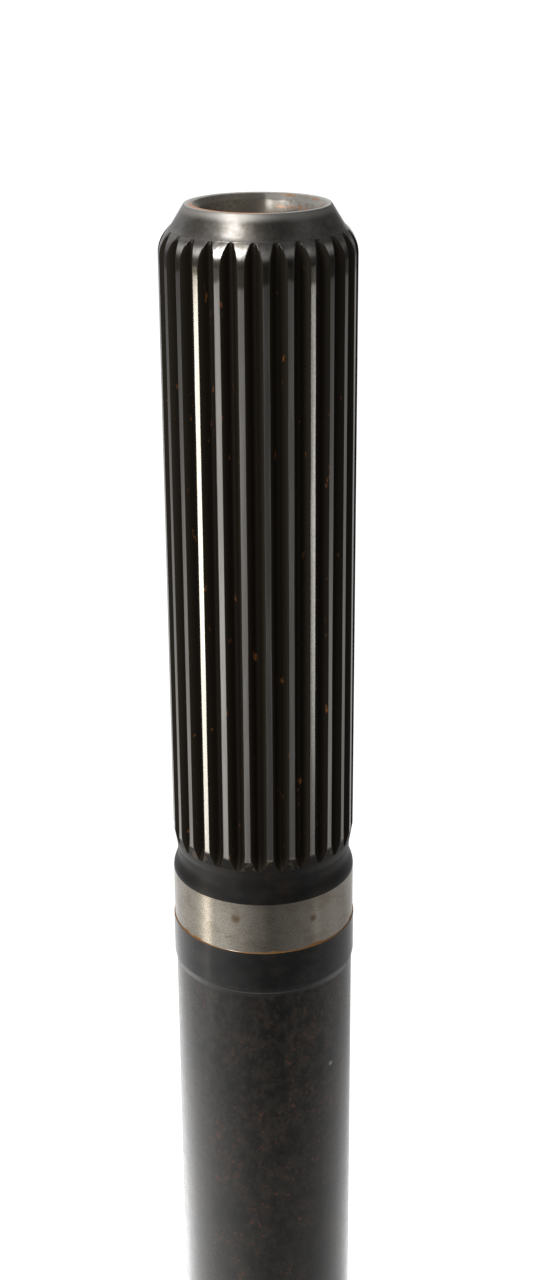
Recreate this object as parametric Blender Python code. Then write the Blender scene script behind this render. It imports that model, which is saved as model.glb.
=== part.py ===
"""Transmission output shaft: one forging, turned, splined at both ends and ground.

Sizes are in metres and +Z runs up the shaft's axis, from the flat inner end at the origin
to the hollow tail end. Each size is set once, below, and everything else follows from them.
"""

import math

import bmesh
import bpy

# Involute splines, 24/48 pitch with a full fillet root
MODULE = 0.0010583
PRESSURE_ANGLE = math.radians(30)
ADDENDUM = 0.5
DEDENDUM = 0.9
FILLET_RADIUS = 0.0005
SHALLOW_FILLET_SHARE = 0.4

# Drive spline and bearing seat at the inner end
DRIVE_TEETH = 34
DRIVE_SPLINE_LENGTH = 0.034
DRIVE_END_CLEARANCE = 0.0002
RELIEF_CLEARANCE = 0.0004
RELIEF_WIDTH = 0.005
JOURNAL_RADIUS = 0.02
JOURNAL_CHAMFER = 0.001
RING_LAND = 0.003
RING_GROOVE_WIDTH = 0.00185
RING_GROOVE_DEPTH = 0.00125
BEARING_WIDTH = 0.018
SHOULDER_HEIGHT = 0.0025
SHOULDER_WIDTH = 0.005
SHOULDER_CHAMFER = 0.0008
SHOULDER_FILLET = 0.006

# Plain body and the collar under the seal land
BODY_RADIUS = 0.01425
BODY_LENGTH = 0.1464
STEP_LENGTH = 0.0011
COLLAR_RADIUS = 0.01455
COLLAR_LENGTH = 0.00665

# Ground seal land and the neck above it
LAND_RADIUS = 0.0144
LAND_LENGTH = 0.0085
FLARE_LENGTH = 0.0028
NECK_RADIUS = 0.0137
NECK_LENGTH = 0.0013
NECK_TAPER_LENGTH = 0.0034

# Tail spline
TAIL_TEETH = 26
TAIL_SPLINE_LENGTH = 0.09
RUNOUT_LENGTH = 0.001
RUNOUT_RADIUS = 0.004

# Tip: the teeth are rounded over, chamfered and run into a cone
TIP_BLEND_RADIUS = 0.005
TIP_CHAMFER = 0.00047
TIP_CONE_LENGTH = 0.003
TIP_CONE_ANGLE = math.radians(32)
RIM_WIDTH = 0.0012

# Bore in the tip
BORE_MOUTH_CHAMFER = 0.00085
BORE_CONE_ANGLE = math.radians(30)
BORE_CONE_LENGTH = 0.005
BORE_DEPTH = 0.022
DRILL_POINT_ANGLE = math.radians(59)

# Centre hole in the inner end
CENTRE_MOUTH_RADIUS = 0.005
CENTRE_PILOT_RADIUS = 0.002
CENTRE_PILOT_LENGTH = 0.004

# Fineness of the facets
PLAIN_SIDES = 60
CURVE_STEPS = 5
RUNOUT_STEPS = 4
SCRATCH_DEPTH = 0.00002
SEARCH_STEP = 0.00005

STEEL_COLOUR = (0.13, 0.12, 0.11, 1.0)
STEEL_ROUGHNESS = 0.38
STEEL_METALLIC = 1.0
SHARP_ANGLE = math.radians(28)


def involute(angle):
    """The involute function of a pressure angle."""
    return math.tan(angle) - angle


class Spline:
    """An external involute spline: its radii and the shape of the space between two teeth."""

    def __init__(self, teeth, runout_height=None):
        """The spaces keep their full depth above runout_height and rise out of the blank below it."""
        self.teeth = teeth
        self.pitch_radius = teeth * MODULE / 2
        self.major_radius = self.pitch_radius + ADDENDUM * MODULE
        self.root_radius = self.pitch_radius - DEDENDUM * MODULE
        self.base_radius = self.pitch_radius * math.cos(PRESSURE_ANGLE)
        self.runout_height = runout_height

    def lift(self, height):
        """How far the spaces' floor has risen at a height."""
        if self.runout_height is None:
            return 0.0
        overrun = max(0.0, self.runout_height - height)
        return overrun**2 / (2 * RUNOUT_RADIUS)

    def floor(self, height):
        """Radius of the spaces' floor at a height."""
        return self.root_radius + self.lift(height)

    def space_half_angle(self, radius, lift):
        """Half the angle that a space spans at a radius, bounded by its flanks and root fillet."""
        half_tooth = math.pi * MODULE / 4 + lift * math.tan(PRESSURE_ANGLE)
        flank_angle = math.acos(min(1.0, self.base_radius / radius))
        tooth = half_tooth / self.pitch_radius + involute(PRESSURE_ANGLE) - involute(flank_angle)
        space = math.pi / self.teeth - tooth
        above_root = radius - self.root_radius - lift
        if above_root < FILLET_RADIUS:
            half_width = math.sqrt(max(0.0, above_root * (2 * FILLET_RADIUS - above_root)))
            space = min(space, half_width / radius)
        return space

    def section(self, outer_radius, height):
        """One ring of points round the toothed section, where the blank has the outer radius."""
        lift = self.lift(height)
        floor = self.root_radius + lift
        depth = outer_radius - floor
        fillet_height = FILLET_RADIUS * (1 - math.sin(PRESSURE_ANGLE))
        fillet_top = floor + min(fillet_height, SHALLOW_FILLET_SHARE * depth)
        flank_radii = [outer_radius, (fillet_top + outer_radius) / 2, fillet_top]
        half_space = [(r, self.space_half_angle(r, lift)) for r in flank_radii]
        ring = []
        for tooth in range(self.teeth):
            middle = (tooth + 0.5) * math.tau / self.teeth
            ring += [(middle - half, r, height) for r, half in half_space]
            ring.append((middle, floor, height))
            ring += [(middle + half, r, height) for r, half in reversed(half_space)]
        return ring


def plain_section(radius, height):
    """One ring of points round a turned surface, or a single point on the axis."""
    if radius == 0.0:
        return [(0.0, 0.0, height)]
    return [(side * math.tau / PLAIN_SIDES, radius, height) for side in range(PLAIN_SIDES)]


def s_curve(start, end):
    """Points (radius, height) of a smooth change of radius, without the first one."""
    points = []
    for step in range(1, CURVE_STEPS + 1):
        share = step / CURVE_STEPS
        blend = (1 - math.cos(math.pi * share)) / 2
        points.append((start[0] + (end[0] - start[0]) * blend, start[1] + (end[1] - start[1]) * share))
    return points


def arc(centre, radius, first_angle, last_angle):
    """Points (radius, height) of a round arc, both ends included."""
    points = []
    for step in range(CURVE_STEPS + 1):
        angle = first_angle + (last_angle - first_angle) * step / CURVE_STEPS
        points.append((centre[0] + radius * math.cos(angle), centre[1] + radius * math.sin(angle)))
    return points


def centre_hole():
    """The inner end's centre hole, from its bottom on the axis out to its mouth in the end face."""
    cone_length = (CENTRE_MOUTH_RADIUS - CENTRE_PILOT_RADIUS) / math.tan(BORE_CONE_ANGLE)
    pilot_end = cone_length + CENTRE_PILOT_LENGTH
    point = CENTRE_PILOT_RADIUS / math.tan(DRILL_POINT_ANGLE)
    return [
        (0.0, pilot_end + point),
        (CENTRE_PILOT_RADIUS, pilot_end),
        (CENTRE_PILOT_RADIUS, cone_length),
        (CENTRE_MOUTH_RADIUS, 0.0),
    ]


def bearing_end(drive):
    """The outside of the inner end, from the end face up to the body."""
    end_radius = drive.root_radius - DRIVE_END_CLEARANCE
    relief_radius = drive.root_radius - RELIEF_CLEARANCE
    journal = DRIVE_SPLINE_LENGTH + RELIEF_WIDTH
    groove = journal + RING_LAND
    seat = groove + RING_GROOVE_WIDTH
    shoulder = seat + BEARING_WIDTH
    body = shoulder + SHOULDER_WIDTH
    shoulder_radius = JOURNAL_RADIUS + SHOULDER_HEIGHT
    groove_radius = JOURNAL_RADIUS - RING_GROOVE_DEPTH
    points = [
        (end_radius, 0.0),
        (drive.major_radius, drive.major_radius - end_radius),
        (drive.major_radius, DRIVE_SPLINE_LENGTH - (drive.major_radius - relief_radius)),
        (relief_radius, DRIVE_SPLINE_LENGTH),
        (relief_radius, journal),
        (JOURNAL_RADIUS - JOURNAL_CHAMFER, journal),
        (JOURNAL_RADIUS, journal + JOURNAL_CHAMFER),
        (JOURNAL_RADIUS, groove),
        (groove_radius, groove),
        (groove_radius, seat),
        (JOURNAL_RADIUS, seat),
        (JOURNAL_RADIUS, shoulder),
        (shoulder_radius, shoulder),
        (shoulder_radius, body - SHOULDER_CHAMFER),
        (shoulder_radius - SHOULDER_CHAMFER, body),
    ]
    fillet_centre = (BODY_RADIUS + SHOULDER_FILLET, body + SHOULDER_FILLET)
    return points + arc(fillet_centre, SHOULDER_FILLET, -math.pi / 2, -math.pi)


def seal_land(start):
    """The collar, the ground land and the neck, from the top of the body up to the teeth."""
    collar = start + STEP_LENGTH
    land = collar + COLLAR_LENGTH
    flare = land + LAND_LENGTH
    neck = flare + FLARE_LENGTH
    taper = neck + NECK_LENGTH
    points = [
        (BODY_RADIUS, start),
        (COLLAR_RADIUS, collar),
        (COLLAR_RADIUS, land),
        (LAND_RADIUS, land),
        (LAND_RADIUS, flare),
    ]
    return points + s_curve((LAND_RADIUS, flare), (NECK_RADIUS, neck)) + [(NECK_RADIUS, taper)]


def tail_end(tail, teeth_start):
    """The outside of the toothed end, from the lower ends of the teeth up to the rim."""
    blend_start = teeth_start + TAIL_SPLINE_LENGTH
    blend_centre = (tail.major_radius - TIP_BLEND_RADIUS, blend_start)
    blend = arc(blend_centre, TIP_BLEND_RADIUS, 0.0, math.pi / 4)
    cone = (blend[-1][0] - TIP_CHAMFER, blend[-1][1] + TIP_CHAMFER)
    rim = (cone[0] - TIP_CONE_LENGTH * math.tan(TIP_CONE_ANGLE), cone[1] + TIP_CONE_LENGTH)
    return [(tail.major_radius, teeth_start)] + blend + [cone, rim]


def tip_bore(rim):
    """The bore, from its mouth in the rim down to its bottom on the axis."""
    rim_radius, top = rim
    mouth = rim_radius - RIM_WIDTH
    cone_top = mouth - BORE_MOUTH_CHAMFER
    bore = cone_top - BORE_CONE_LENGTH * math.tan(BORE_CONE_ANGLE)
    return [
        (mouth, top),
        (cone_top, top - BORE_MOUTH_CHAMFER),
        (bore, top - BORE_MOUTH_CHAMFER - BORE_CONE_LENGTH),
        (bore, top - BORE_DEPTH),
        (0.0, top - BORE_DEPTH - bore / math.tan(DRILL_POINT_ANGLE)),
    ]


def radius_at(outside, height):
    """The turned blank's radius at a height between two of its corners."""
    for (r0, z0), (r1, z1) in zip(outside, outside[1:]):
        if z0 <= height <= z1 and z1 > z0:
            return r0 + (r1 - r0) * (height - z0) / (z1 - z0)
    raise ValueError("that height is not on the shaft")


def spline_end(outside, spline, start, step):
    """The height, going along the shaft by step from start, where the spaces leave the blank."""
    bottom, top = outside[0][1], outside[-1][1]
    height = start
    while bottom < height + step < top:
        if radius_at(outside, height + step) - spline.floor(height + step) < SCRATCH_DEPTH:
            return height
        height += step
    return top if step > 0 else bottom


def cut_spline(outside, spline, start):
    """The rings of a splined stretch: one at each end, at the blank's corners and along the run-out."""
    low = spline_end(outside, spline, start, -SEARCH_STEP)
    high = spline_end(outside, spline, start, SEARCH_STEP)
    heights = {low, high} | {z for _, z in outside if low < z < high}
    if spline.runout_height is not None:
        drop = (spline.runout_height - low) / RUNOUT_STEPS
        heights |= {spline.runout_height - step * drop for step in range(RUNOUT_STEPS)}
    kept = [low]
    for height in sorted(heights):
        if height - kept[-1] > SEARCH_STEP:
            kept.append(height)
    kept[-1] = high
    return [spline.section(radius_at(outside, z), z) for z in kept]


def stitch(mesh, lower, upper):
    """Joins two rings of vertices, given with their angles, by one band of faces."""
    if len(lower) == 1 or len(upper) == 1:
        point = lower[0][1] if len(lower) == 1 else upper[0][1]
        ring = [vertex for _, vertex in (upper if len(lower) == 1 else lower)]
        for first, second in zip(ring, ring[1:] + ring[:1]):
            mesh.faces.new((point, second, first) if len(lower) == 1 else (first, second, point))
        return
    if len(lower) == len(upper):
        for here in range(len(lower)):
            there = (here + 1) % len(lower)
            mesh.faces.new((lower[here][1], lower[there][1], upper[there][1], upper[here][1]))
        return
    low = high = 0
    while low < len(lower) or high < len(upper):
        next_low = lower[low + 1][0] if low + 1 < len(lower) else math.tau + lower[0][0]
        next_high = upper[high + 1][0] if high + 1 < len(upper) else math.tau + upper[0][0]
        here, there = lower[low % len(lower)][1], upper[high % len(upper)][1]
        if high == len(upper) or (low < len(lower) and next_low <= next_high):
            low += 1
            mesh.faces.new((here, lower[low % len(lower)][1], there))
        else:
            high += 1
            mesh.faces.new((here, upper[high % len(upper)][1], there))


def loft(name, sections):
    """A closed mesh through the sections, which run from the axis outwards and back to it."""
    mesh = bmesh.new()
    rings = []
    for section in sections:
        points = [
            (angle, mesh.verts.new((r * math.cos(angle), r * math.sin(angle), z)))
            for angle, r, z in section
        ]
        rings.append(points)
    for lower, upper in zip(rings, rings[1:]):
        stitch(mesh, lower, upper)
    bmesh.ops.triangulate(mesh, faces=mesh.faces[:])
    bmesh.ops.recalc_face_normals(mesh, faces=mesh.faces[:])
    data = bpy.data.meshes.new(name)
    mesh.to_mesh(data)
    mesh.free()
    data.shade_smooth()
    data.set_sharp_from_angle(angle=SHARP_ANGLE)
    return data


def steel():
    """Dark oiled steel."""
    material = bpy.data.materials.new("dark_oiled_steel")
    material.use_nodes = True
    shader = material.node_tree.nodes["Principled BSDF"]
    shader.inputs["Base Color"].default_value = STEEL_COLOUR
    shader.inputs["Roughness"].default_value = STEEL_ROUGHNESS
    shader.inputs["Metallic"].default_value = STEEL_METALLIC
    return material


def shaft_sections():
    """All sections of the shaft in order, from the centre hole round the outside to the tip bore."""
    drive = Spline(DRIVE_TEETH)
    outside = bearing_end(drive)
    outside += seal_land(outside[-1][1] + BODY_LENGTH)
    teeth_start = outside[-1][1] + NECK_TAPER_LENGTH
    tail = Spline(TAIL_TEETH, runout_height=teeth_start + RUNOUT_LENGTH)
    outside += tail_end(tail, teeth_start)

    drive_rings = cut_spline(outside, drive, DRIVE_SPLINE_LENGTH / 2)
    tail_rings = cut_spline(outside, tail, teeth_start + TAIL_SPLINE_LENGTH / 2)
    sections = [plain_section(r, z) for r, z in centre_hole()]
    cut_rings = [drive_rings, tail_rings]
    for radius, height in outside:
        while cut_rings and height > cut_rings[0][-1][0][2]:
            sections += cut_rings.pop(0)
        splined = cut_rings and height >= cut_rings[0][0][0][2]
        if not splined:
            sections.append(plain_section(radius, height))
    for rings in cut_rings:
        sections += rings
    return sections + [plain_section(r, z) for r, z in tip_bore(outside[-1])]


def build():
    """Empties the scene and makes the shaft."""
    for old in list(bpy.data.objects):
        bpy.data.objects.remove(old)
    shaft = bpy.data.objects.new("output_shaft", loft("output_shaft", shaft_sections()))
    shaft.data.materials.append(steel())
    bpy.context.scene.collection.objects.link(shaft)


build()
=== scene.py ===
"""Looks of a transmission output shaft: fine splines, worn oiled steel and a plain studio.

Lengths are in metres and +Z runs up the shaft's axis, from its flat inner end to its hollow tip.
Bearings round the axis are counted from the side that the camera stands on, positive to its right.
"""

import logging
import math
from collections.abc import Callable, Sequence
from dataclasses import dataclass, field, replace
from enum import Enum

import bpy
from mathutils import Matrix, Vector


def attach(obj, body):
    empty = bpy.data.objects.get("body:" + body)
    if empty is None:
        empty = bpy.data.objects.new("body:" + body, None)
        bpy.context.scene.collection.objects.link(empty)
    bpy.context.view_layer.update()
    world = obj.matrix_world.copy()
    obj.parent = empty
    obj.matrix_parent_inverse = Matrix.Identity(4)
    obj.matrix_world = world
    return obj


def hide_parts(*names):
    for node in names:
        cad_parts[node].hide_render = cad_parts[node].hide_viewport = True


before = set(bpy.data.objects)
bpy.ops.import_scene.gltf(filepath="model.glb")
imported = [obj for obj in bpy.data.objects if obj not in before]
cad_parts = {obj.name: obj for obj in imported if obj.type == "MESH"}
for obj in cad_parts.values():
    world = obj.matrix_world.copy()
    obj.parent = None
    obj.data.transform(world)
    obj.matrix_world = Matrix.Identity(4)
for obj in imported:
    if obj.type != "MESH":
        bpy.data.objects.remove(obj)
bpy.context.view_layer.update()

CAD_NODE = "output_shaft"
BODY = "root"
CAMERA_BEARING = math.radians(2.783)
# How far beyond the last cut row the spaces are closed, and the least depth that counts as a cut.
EXIT_STEP = 0.00001
SCRATCH_DEPTH = 0.00001
# The least gap between two rows, and how often the search for the last cut halves its stretch.
ROW_GAP = 0.00002
HALVINGS = 30
# How much of an edge a broken corner may take, where the next corner is broken too and where it isn't.
SHARED_ROOM = 0.2
FREE_ROOM = 0.45
# The faces round the joint of the two ends, which both numbers of teeth divide.
JOINT_RING = 442
# The angle to the nearest space that a row without one counts as.
NO_SPACE = math.radians(5)
NOISE_MIDDLE = 0.5
# The turn of the brushed reflections that lays them along the shaft.
LENGTHWISE = 0.25

Colour = tuple[float, float, float]
Point = tuple[float, float, float]
Span = tuple[float, float]
Row = list[Point]

log = logging.getLogger(CAD_NODE)


class Zone(Enum):
    """The zones of the shaft's skin, by the number that their faces carry."""

    TEETH = 0
    NOSE = 1
    BORE = 2
    NECK = 3
    GROUND = 4
    COLLAR = 5
    BODY = 6


class Half(Enum):
    """The two ends of the shaft, whose splines repeat in different steps."""

    DRIVE = 0
    TAIL = 1


@dataclass(frozen=True)
class Spot:
    """A point of the turned outline, and the zone of the band that runs on from it."""

    radius: float
    height: float
    zone: Zone
    edge_break: float = 0.0


def rounded(spots: Sequence[Spot], steps: int = 3) -> list[Spot]:
    """Breaks the outline's sharp corners by small curves.

    Args:
        spots: The outline's corners in order.
        steps: How many bands each broken corner gets.

    Returns:
        The outline with a short curve, and a support on each side, for each corner that has a break.
    """
    outline = [spots[0]]
    for before, spot, after in zip(spots, spots[1:], spots[2:]):
        if spot.edge_break == 0.0:
            outline.append(spot)
            continue
        corner = Vector((spot.radius, spot.height))
        sides = [Vector((other.radius, other.height)) - corner for other in (before, after)]
        rooms = [SHARED_ROOM if other.edge_break else FREE_ROOM for other in (before, after)]
        reach = min(spot.edge_break, *[room * side.length for room, side in zip(rooms, sides)])
        back, ahead = [side.normalized() * reach for side in sides]
        places = [(corner + back * 2, before.zone)]
        for step in range(steps + 1):
            share = step / steps
            first = (corner + back).lerp(corner, share)
            place = first.lerp(corner.lerp(corner + ahead, share), share)
            places.append((place, before.zone if share < 0.5 else spot.zone))
        places.append((corner + ahead * 2, spot.zone))
        outline += [Spot(place.x, place.y, zone) for place, zone in places]
    return outline + [spots[-1]]


def arc(
    centre: tuple[float, float], radius: float, first: float, last: float, steps: int, zone: Zone
) -> list[Spot]:
    """Points of a round arc of the outline.

    Args:
        centre: The arc's centre, as a radius and a height.
        radius: The arc's radius.
        first: Angle of the arc's first point, from straight outwards.
        last: Angle of its last point.
        steps: How many pieces the arc has.
        zone: The zone of the arc's bands.

    Returns:
        The arc's points, both ends included.
    """
    spots = []
    for step in range(steps + 1):
        angle = first + (last - first) * step / steps
        place = centre[0] + radius * math.cos(angle), centre[1] + radius * math.sin(angle)
        spots.append(Spot(*place, zone))
    return spots


def involute(angle: float) -> float:
    """The involute function of a pressure angle."""
    return math.tan(angle) - angle


@dataclass(frozen=True)
class Spline:
    """An external involute spline with a full fillet root and broken tooth edges."""

    teeth: int
    runout_height: float | None = None
    module: float = 0.0010583
    pressure_angle: float = math.radians(30)
    addendum: float = 0.5
    dedendum: float = 0.9
    fillet: float = 0.0005
    runout_radius: float = 0.004
    edge_break: float = 0.00007
    flank_steps: int = 3
    fillet_steps: int = 4
    top_columns: tuple[float, ...] = (0.0, 0.6, 0.97, 1.0)
    softening: float = 0.3
    chamfer_share: float = 0.25
    fillet_share: float = 0.4

    @property
    def pitch_radius(self) -> float:
        """Radius of the pitch circle."""
        return self.teeth * self.module / 2

    @property
    def major_radius(self) -> float:
        """Radius over the teeth."""
        return self.pitch_radius + self.addendum * self.module

    @property
    def root_radius(self) -> float:
        """Radius of the spaces' floor where they have their full depth."""
        return self.pitch_radius - self.dedendum * self.module

    def lift(self, height: float) -> float:
        """How far the spaces' floor has risen at a height, as the cutter ran out."""
        if self.runout_height is None:
            return 0.0
        return max(0.0, self.runout_height - height) ** 2 / (2 * self.runout_radius)

    def half_space(self, radius: float, lift: float) -> float:
        """Half the angle that a space spans at a radius.

        Args:
            radius: Where the space is measured.
            lift: How far the space's floor has risen.

        Returns:
            The half angle, bounded by the involute flank and by the root fillet.
        """
        half_tooth = math.pi * self.module / 4 + lift * math.tan(self.pressure_angle)
        base_radius = self.pitch_radius * math.cos(self.pressure_angle)
        flank_angle = math.acos(min(1.0, base_radius / radius))
        tooth = half_tooth / self.pitch_radius + involute(self.pressure_angle) - involute(flank_angle)
        space = math.pi / self.teeth - tooth
        above = radius - self.root_radius - lift
        if above < self.fillet:
            space = min(space, math.sqrt(max(0.0, above * (2 * self.fillet - above))) / radius)
        return space

    def row(self, blank: float, height: float) -> Row:
        """One row of points from the middle of a tooth to the middle of the next one.

        Args:
            blank: The turned blank's radius at this height.
            height: Where the row lies.

        Returns:
            The row's points, as angle, radius and height.
        """
        lift = self.lift(height)
        floor = self.root_radius + lift
        depth = blank - floor
        half_pitch = math.pi / self.teeth
        chamfer = min(self.edge_break, self.chamfer_share * depth)
        edge = half_pitch - self.half_space(blank, lift)
        top = edge - chamfer / blank
        half = [(share * top, blank) for share in self.top_columns]
        soft = self.softening * chamfer
        half.append((edge - soft / blank, blank - soft))
        fillet_height = min(self.fillet * (1 - math.sin(self.pressure_angle)), self.fillet_share * depth)
        high, low = blank - chamfer, floor + fillet_height
        for step in range(self.flank_steps + 1):
            radius = high + (low - high) * step / self.flank_steps
            half.append((half_pitch - self.half_space(radius, lift), radius))
        for step in range(1, self.fillet_steps):
            radius = floor + fillet_height * (1 - step / self.fillet_steps) ** 2
            half.append((half_pitch - self.half_space(radius, lift), radius))
        full = half + [(half_pitch, floor)] + [(2 * half_pitch - angle, r) for angle, r in reversed(half)]
        return [(angle, radius, height) for angle, radius in full]


def plain_row(radius: float, height: float, sector: float, columns: int) -> Row:
    """One row of points across a sector of a turned surface.

    Args:
        radius: The row's radius, where 0 gives the one point on the axis.
        height: Where the row lies.
        sector: The sector's angle.
        columns: How many faces cross the sector.

    Returns:
        The row's points, as angle, radius and height.
    """
    if radius == 0.0:
        return [(0.0, 0.0, height)]
    return [(sector * column / columns, radius, height) for column in range(columns + 1)]


def radius_at(outline: Sequence[Spot], height: float) -> float:
    """The turned blank's radius at a height between two points of its outline."""
    for low, high in zip(outline, outline[1:]):
        if low.height <= height <= high.height and high.height > low.height:
            share = (height - low.height) / (high.height - low.height)
            return low.radius + (high.radius - low.radius) * share
    raise ValueError(f"the outline has no height {height}")


@dataclass
class Sector:
    """One repeat of the skin of the shaft's one end, as rows of points joined by faces."""

    half: Half
    repeats: int
    columns: int
    points: list[Vector] = field(default_factory=list)
    depths: list[float] = field(default_factory=list)
    faces: list[tuple[int, ...]] = field(default_factory=list)
    zones: list[int] = field(default_factory=list)
    last_row: Row = field(default_factory=list)
    zone: Zone = Zone.BODY

    @property
    def angle(self) -> float:
        """The angle of one repeat."""
        return math.tau / self.repeats

    def add(self, row: Row, zone: Zone) -> None:
        """Adds a row and joins it to the one before.

        Args:
            row: The new row's points.
            zone: The zone of the band that will follow the row.
        """
        start = len(self.points)
        self.points += [Vector((r * math.cos(a), r * math.sin(a), z)) for a, r, z in row]
        self.depths += self._depths(row)
        if self.last_row:
            self._stitch(start - len(self.last_row), start, self.last_row, row)
        self.last_row, self.zone = row, zone

    @staticmethod
    def _depths(row: Row) -> list[float]:
        """How deep each point lies in a space or, below 0, how far it lies from one along the row."""
        blank = max(radius for _, radius, _ in row)
        cut = [angle for angle, radius, _ in row if radius < blank]
        depths = []
        for angle, radius, _ in row:
            if radius < blank:
                depths.append(blank - radius)
            else:
                depths.append(-blank * min([abs(angle - other) for other in cut], default=NO_SPACE))
        return depths

    def add_plain(self, spot: Spot, columns: int | None = None) -> None:
        """Adds a turned row at a point of the outline."""
        self.add(plain_row(spot.radius, spot.height, self.angle, columns or self.columns), spot.zone)

    def _stitch(self, below: int, above: int, lower: Row, upper: Row) -> None:
        """Joins two rows, which may have different numbers of points, going by their angles.

        Args:
            below: Number of the lower row's first point.
            above: Number of the upper row's first point.
            lower: The lower row.
            upper: The upper row.
        """
        low = high = 0
        while low < len(lower) - 1 or high < len(upper) - 1:
            here, there = below + low, above + high
            if len(lower) == len(upper):
                self.faces.append((here, here + 1, there + 1, there))
                low, high = low + 1, high + 1
            elif high == len(upper) - 1 or (low < len(lower) - 1 and lower[low + 1][0] <= upper[high + 1][0]):
                self.faces.append((here, here + 1, there))
                low += 1
            else:
                self.faces.append((here, there + 1, there))
                high += 1
            self.zones.append(self.zone.value)


def add_splined(
    sector: Sector, spline: Spline, outline: Sequence[Spot], heights: Sequence[float], zone: Zone
) -> None:
    """Adds the rows of a splined stretch, between two rows where the spaces leave the blank.

    Args:
        sector: The sector that gets the rows.
        spline: The spline that is cut.
        outline: The turned blank.
        heights: The rows' heights, from the lower run-out to the upper one.
        zone: The zone of the toothed bands.
    """
    for height in heights:
        blank = radius_at(outline, height)
        row = spline.row(blank, height)
        if height == heights[0]:
            sector.add([(angle, blank, height - EXIT_STEP) for angle, _, _ in row], zone)
        sector.add(row, zone)
    sector.add([(angle, blank, height + EXIT_STEP) for angle, _, _ in row], zone)


def exit_height(outline: Sequence[Spot], spline: Spline, inside: float, outside: float) -> float:
    """The height at which the spaces leave the blank.

    Args:
        outline: The turned blank.
        spline: The spline that is cut.
        inside: A height within the toothed stretch.
        outside: A height beyond its end.

    Returns:
        The last height at which the spaces still have a scratch of depth.
    """
    for _ in range(HALVINGS):
        middle = (inside + outside) / 2
        depth = radius_at(outline, middle) - spline.root_radius - spline.lift(middle)
        if depth > SCRATCH_DEPTH:
            inside = middle
        else:
            outside = middle
    return inside


def spread_heights(
    low: float, full_low: float, full_high: float, high: float, long_steps: int, end_steps: int
) -> list[float]:
    """Heights for a splined stretch's rows, close together where the spaces run out.

    Args:
        low: Where the spaces leave the blank at the lower end.
        full_low: Lower end of the straight stretch.
        full_high: Upper end of the straight stretch.
        high: Where the spaces leave the blank at the upper end.
        long_steps: How many bands the straight stretch has.
        end_steps: How many bands each run-out has.

    Returns:
        The heights in order.
    """
    heights = [low + (full_low - low) * (step / end_steps) ** 2 for step in range(end_steps)]
    heights += [full_low + (full_high - full_low) * step / long_steps for step in range(long_steps)]
    heights += [high - (high - full_high) * (1 - step / end_steps) ** 2 for step in range(end_steps + 1)]
    return heights


def with_corners(heights: Sequence[float], outline: Sequence[Spot]) -> list[float]:
    """Adds the heights of the outline's own points to a splined stretch's rows, unless one lies there."""
    inner = [s.height for s in outline if heights[0] + ROW_GAP < s.height < heights[-1] - ROW_GAP]
    others = [height for height in heights if all(abs(height - other) > ROW_GAP for other in inner)]
    return sorted(set(inner + others))


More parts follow.
